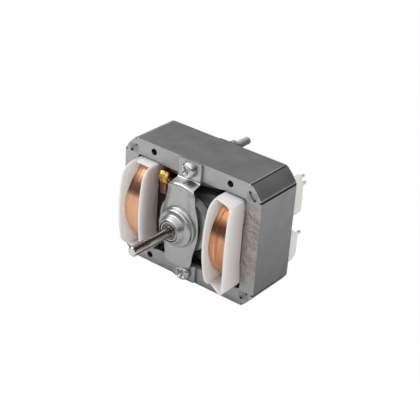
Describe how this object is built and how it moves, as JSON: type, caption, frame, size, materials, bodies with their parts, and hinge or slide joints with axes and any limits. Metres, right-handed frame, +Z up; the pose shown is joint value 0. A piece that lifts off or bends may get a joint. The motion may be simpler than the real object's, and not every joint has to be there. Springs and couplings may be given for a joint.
{
  "type": "range hood fan motor",
  "caption": "Open-frame shaded-pole motor: laminated stack, a winding each side, stamped bearing brackets and a long round drive shaft.",
  "frame": {"origin": "centre of the four mounting holes in the stack's front face, on the shaft axis", "axes": "-Y along the drive end of the shaft, +X to the right seen from the front, +Z up"},
  "size_m": [0.084, 0.087, 0.0666],
  "materials": {
    "lamination": "bare stamped electrical steel, satin",
    "rotor_lamination": "bare laminated steel with a turned surface",
    "zinc_sheet": "bright zinc-plated sheet, satin",
    "spring_steel": "bare spring steel",
    "fastener": "bright zinc plating",
    "shaft_steel": "ground and polished",
    "sintered": "oil-soaked sintered metal, matt",
    "copper_wire": "enamelled copper wire",
    "copper_bar": "bare copper bar",
    "bobbin_plastic": "natural white nylon, slightly translucent",
    "cover_plastic": "natural white nylon, slightly translucent",
    "terminal_plastic": "cream plastic",
    "tinned": "tinned",
    "cast_aluminium": "as cast",
    "sleeve_plastic": "plain plastic",
    "fibre": "hard fibre",
    "felt": "oil-soaked felt"
  },
  "bodies": {
    "stator": {"stator_yoke": "lamination", "pole_core": "lamination", "shading_ring_left": "copper_bar", "shading_ring_right": "copper_bar", "bobbin_left": "bobbin_plastic", "bobbin_right": "bobbin_plastic", "winding_left": "copper_wire", "winding_right": "copper_wire", "slot_cover_left_top": "cover_plastic", "slot_cover_left_bottom": "cover_plastic", "slot_cover_right_top": "cover_plastic", "slot_cover_right_bottom": "cover_plastic", "terminal_block": "terminal_plastic", "terminal_pin_left": "tinned", "terminal_pins_right": "tinned", "front_bracket": "zinc_sheet", "rear_bracket": "zinc_sheet", "bearing_front": "sintered", "bearing_rear": "sintered", "retainer_front": "spring_steel", "retainer_rear": "spring_steel", "felt_front": "felt", "felt_rear": "felt", "through_screws": "fastener", "lock_washers": "fastener", "hex_nuts": "fastener"},
    "rotor": {"rotor_core": "rotor_lamination", "rotor_cage": "cast_aluminium", "shaft": "shaft_steel", "thrust_sleeve_front": "sleeve_plastic", "thrust_sleeve_rear": "sleeve_plastic", "thrust_washer_front": "fibre", "thrust_washer_rear": "fibre"}
  },
  "joints": [
    {"name": "rotor_spin", "type": "hinge", "parent": "stator", "child": "rotor", "pos_m": [0, 0, 0], "axis": [0, -1, 0], "continuous": true}
  ]
}
